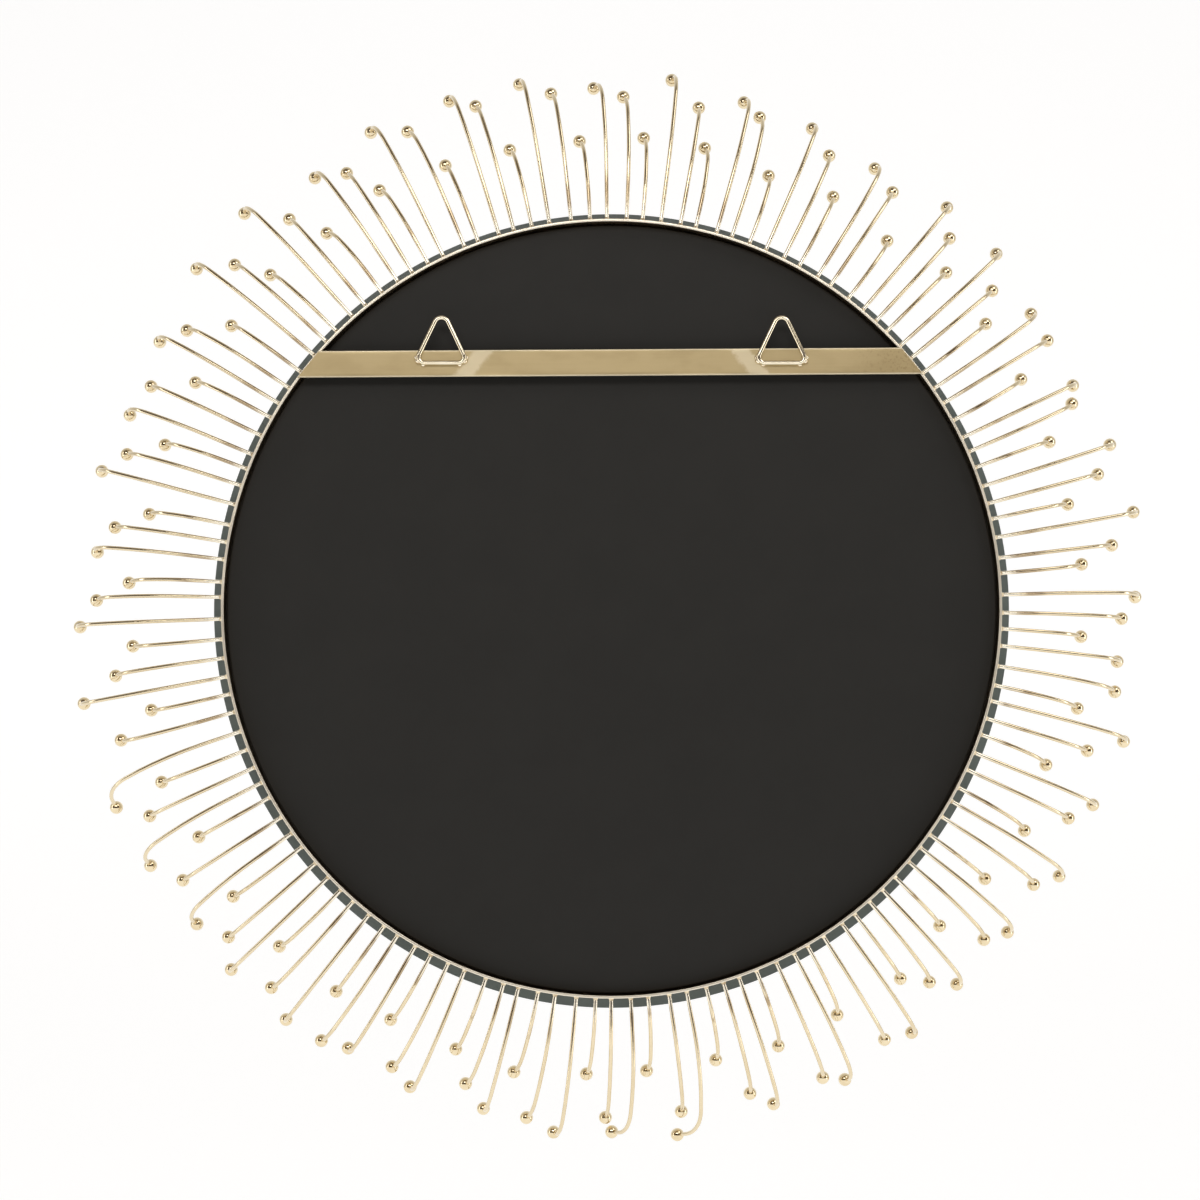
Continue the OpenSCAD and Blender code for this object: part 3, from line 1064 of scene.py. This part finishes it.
    def build_balls(self, sector: int) -> bpy.types.Object:
        """Balls on the wires' ends: circles of latitude about the last heading."""
        skins = []
        rows, columns = self.ball_grid
        lat = np.linspace(0, np.pi, rows)[1:-1]
        lon = np.arange(columns) * TURN / columns
        r = self.ball / 2
        for kind in Class:
            i = self.numbers(sector, kind)
            points, facing, _ = self.line(i, kind)
            way, end = facing[:, -1], points[:, -1]
            along = (r - self.sunk - r * np.cos(lat))[None, :, None] + 0 * lon
            out = (r * np.sin(lat))[:, None] * np.cos(lon)
            aside = (r * np.sin(lat))[:, None] * np.sin(lon)
            c, s = np.cos(way)[:, None, None], np.sin(way)[:, None, None]
            local = np.stack(
                [
                    end[:, 0, None, None] + along * c + out * s,
                    end[:, 1, None, None] - along * s + out * c,
                    np.broadcast_to(aside, (len(i), *aside.shape)),
                ],
                axis=-1,
            )
            t = np.array([-self.sunk, 2 * r - self.sunk])
            c, s = np.cos(way)[:, None], np.sin(way)[:, None]
            poles = np.stack([end[:, :1] + t * c, end[:, 1:] - t * s, 0 * t * c], axis=-1)
            for rings, pole in zip(self.set_up(i, local), self.set_up(i, poles)):
                skin = tube_skin(rings)
                skin.points[-2:] = pole
                skins.append(skin)
        return make_piece(f"tip_balls_{sector + 1:02d}", skins, 80.0)

    def build_collars(self) -> bpy.types.Object:
        """Lumpy fillets of weld round the feet: a hollow curve turned about each wire."""
        i = np.arange(self.wires_each * len(Class))
        t = np.arange(self.collar_around) * TURN / self.collar_around
        height = np.array([-0.05, 0.35, 0.95, self.collar_h])
        wide = np.array([0.9, 0.52, 0.22, 0.02])
        rng = np.random.default_rng(self.collar_seed)
        lumps = 1 - self.collar_lump * rng.random((len(i), 1, len(t)))
        r = self.wire / 2 + wide[None, :, None] * lumps
        x = np.broadcast_to(height[None, :, None], r.shape)
        rings = self.set_up(i, np.stack([x, r * np.cos(t), r * np.sin(t)], axis=-1))
        return make_piece("foot_fillets", [tube_skin(ring) for ring in rings], 80.0)

    def dress(self) -> None:
        """Builds the whole halo, sector by sector, and finishes it."""
        for sector in range(self.sectors):
            for kind in Class:
                rays = self.build_wires(sector, kind)
                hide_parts(f"{kind.name.lower()}_wires_{sector + 1:02d}")
                dress(rays, "plated_wire", Finish.WIRE)
            balls = self.build_balls(sector)
            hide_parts(f"ball_tips_{sector + 1:02d}")
            dress(balls, "polished_ball", Finish.BALL)
        collars = self.build_collars()
        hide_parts("wire_collars")
        dress(collars, "weld_metal", Finish.WELD)
        LOG.info("halo: %d wires with balls and fillets", self.wires_each * len(Class))


# ---------------------------------------------------------------- studio


@dataclass
class Studio:
    """A pale sweep, soft lamps and the camera behind and a little below the mirror.

    Distances are in metres. The sweep's floor and back meet in a round bend.
    """

    sizes: Sizes
    sweep_half: float = 5.0
    floor_z: float = -1.1
    floor_y: float = 5.0
    back_y: float = -3.6
    back_top: float = 4.0
    bend_r: float = 1.2
    distance: float = 2.0
    elevation: float = -3.4
    lens: float = 80.7
    shift: tuple[float, float] = (-0.0096, 0.0043)

    def build_sweep(self) -> bpy.types.Object:
        """Floor that curves up into a backdrop beyond the mirror's front: a profile drawn sideways."""
        bend, r = np.radians(np.linspace(0, 90, 24)), self.bend_r
        y = np.concatenate([[self.floor_y], self.back_y + r - r * np.sin(bend), [self.back_y]])
        z = np.concatenate([[self.floor_z], self.floor_z + r - r * np.cos(bend), [self.back_top]])
        x = np.linspace(-self.sweep_half, self.sweep_half, 3)
        points = np.stack(np.broadcast_arrays(x[None, :], y[:, None], z[:, None]), axis=-1)
        mesh = bpy.data.meshes.new("sweep")
        faces = grid_faces(len(y), len(x), False, False)
        mesh.from_pydata(points.reshape(-1, 3).tolist(), [], faces.tolist())
        mesh.shade_smooth()
        sweep = bpy.data.objects.new("sweep", mesh)
        bpy.context.scene.collection.objects.link(sweep)
        net = Net("sweep_paper")
        net.fix(Base_Color=(0.4, 0.4, 0.4), Roughness=0.9, Specular_IOR_Level=0.1)
        net.fix(Emission_Color=(1.0, 1.0, 1.0), Emission_Strength=0.78)
        sweep.data.materials.append(net.material)
        return sweep

    def add_lamp(
        self, name: str, at: tuple[float, ...], size: tuple[float, float], power: float, tint: Colour
    ) -> None:
        """Adds a soft rectangular lamp that faces the mirror's middle.

        Args:
            name: The lamp's name.
            at: Its place, in metres.
            size: Its width and height, in metres.
            power: Its power, in watts.
            tint: The colour of its light.
        """
        lamp = bpy.data.lights.new(name, "AREA")
        lamp.shape, lamp.size, lamp.size_y = "RECTANGLE", *size
        lamp.energy, lamp.color = power, tint
        holder = bpy.data.objects.new(name, lamp)
        holder.location = at
        holder.rotation_euler = (-Vector(at)).to_track_quat("-Z", "Y").to_euler()
        bpy.context.scene.collection.objects.link(holder)

    def build_world(self) -> None:
        """Pale surroundings that darken towards the room behind the camera."""
        world = bpy.data.worlds.new("room")
        bpy.context.scene.world = world
        world.use_nodes = True
        tree = world.node_tree
        back = tree.nodes["Background"]
        way = tree.nodes.new("ShaderNodeTexCoord")
        split = tree.nodes.new("ShaderNodeSeparateXYZ")
        tree.links.new(way.outputs["Generated"], split.inputs[0])
        ramp = tree.nodes.new("ShaderNodeValToRGB")
        stops = [
            (0.0, (0.95, 0.95, 0.95)),
            (0.5, (0.62, 0.6, 0.57)),
            (0.72, (0.16, 0.13, 0.1)),
            (1.0, (0.07, 0.05, 0.035)),
        ]
        ramp.color_ramp.elements.new(0.5)
        ramp.color_ramp.elements.new(0.5)
        for element, (place, colour) in zip(ramp.color_ramp.elements, stops):
            element.position, element.color = place, (*colour, 1.0)
        half = tree.nodes.new("ShaderNodeMapRange")
        half.inputs["From Min"].default_value = -1.0
        tree.links.new(split.outputs[1], half.inputs["Value"])
        tree.links.new(half.outputs[0], ramp.inputs[0])
        rays = tree.nodes.new("ShaderNodeLightPath")
        mix = tree.nodes.new("ShaderNodeMix")
        mix.data_type = "RGBA"
        tree.links.new(rays.outputs["Is Camera Ray"], mix.inputs[0])
        tree.links.new(ramp.outputs[0], mix.inputs[6])
        mix.inputs[7].default_value = (0.96, 0.96, 0.96, 1.0)
        tree.links.new(mix.outputs[2], back.inputs[0])
        back.inputs[1].default_value = 1.0

    def build_camera(self) -> None:
        """Camera that looks at the middle of the hoop's rear edge."""
        camera = bpy.data.cameras.new("camera")
        camera.lens, camera.sensor_width = self.lens, 36.0
        camera.shift_x, camera.shift_y = self.shift
        holder = bpy.data.objects.new("camera", camera)
        e = math.radians(self.elevation)
        back = Vector((0.0, math.cos(e), math.sin(e)))
        holder.location = Vector((0.0, self.sizes.hoop_back_y * MM, 0.0)) + back * self.distance
        holder.rotation_euler = (-back).to_track_quat("-Z", "Y").to_euler()
        bpy.context.scene.collection.objects.link(holder)
        bpy.context.scene.camera = holder

    def dress(self) -> None:
        """Sets up the whole studio."""
        self.build_sweep()
        self.add_lamp("key", (-1.5, 1.6, 2.0), (1.6, 1.2), 15.0, (1.0, 0.99, 0.97))
        self.add_lamp("overhead", (0.3, 2.7, 1.25), (2.4, 0.8), 22.0, (1.0, 0.99, 0.97))
        self.add_lamp("side_left", (2.4, 0.7, 0.2), (0.5, 2.2), 8.0, (1.0, 1.0, 1.0))
        self.add_lamp("side_right", (-2.4, 0.7, 0.1), (0.5, 2.2), 10.0, (1.0, 1.0, 1.0))
        self.build_world()
        self.build_camera()
        bpy.context.scene.view_settings.view_transform = "Standard"
        LOG.info("studio ready")


def main() -> None:
    logging.basicConfig(level=logging.INFO, format="%(name)s: %(message)s")
    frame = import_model()
    sizes = Sizes()
    Studio(sizes).dress()
    Body(sizes).dress(frame["nodes"])
    Strap(sizes).dress()
    for side in Side:
        Hanger(sizes, side).dress()
    Halo(sizes).dress()
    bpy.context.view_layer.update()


if __name__ == "__main__":
    main()
